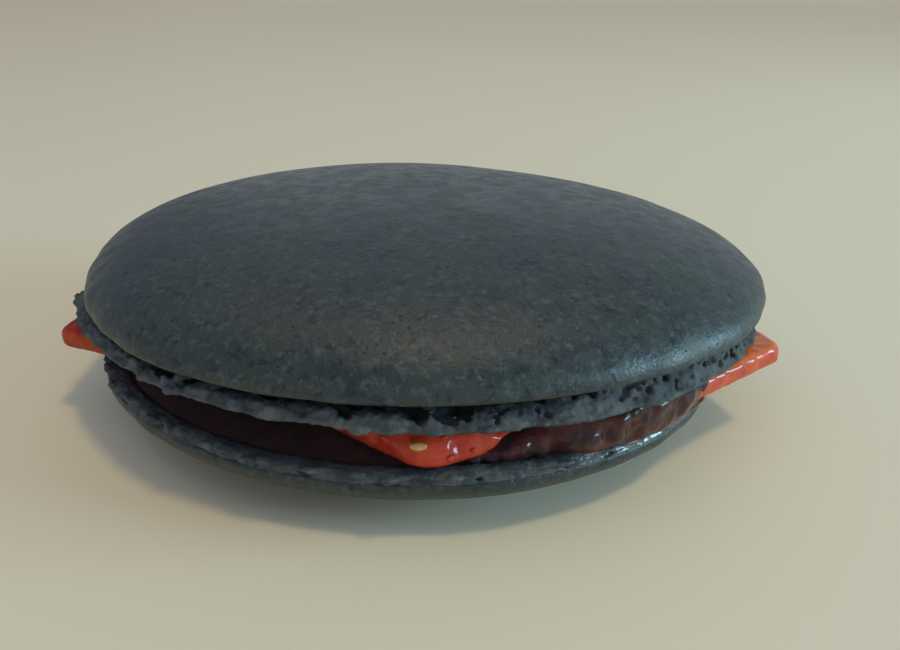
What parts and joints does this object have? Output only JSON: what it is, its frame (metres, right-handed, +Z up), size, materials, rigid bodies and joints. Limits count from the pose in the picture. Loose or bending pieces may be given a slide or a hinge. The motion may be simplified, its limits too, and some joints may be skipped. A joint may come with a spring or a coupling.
{
  "type": "filled french macaron",
  "caption": "Large round macaron: domed slate-grey meringue shells with ruffled feet around a red jam layer, with strawberry slices sticking out round the edge.",
  "frame": {"origin": "centre of the flat spot on the underside of the lower shell, on the table", "axes": "+Z up through the shells, -Y towards the side with the pointed strawberry tip, +X to the right as seen from that side"},
  "size_m": [0.076, 0.0755, 0.0232],
  "materials": {
    "shell": "satin, fine grained",
    "jam": "wet gloss",
    "strawberry": "wet gloss"
  },
  "bodies": {
    "root": {"upper_shell": "shell", "lower_shell": "shell", "jam": "jam", "strawberry_front": "strawberry", "strawberry_right": "strawberry", "strawberry_left": "strawberry", "strawberry_back_right": "strawberry", "strawberry_back_left": "strawberry"}
  },
  "joints": []
}
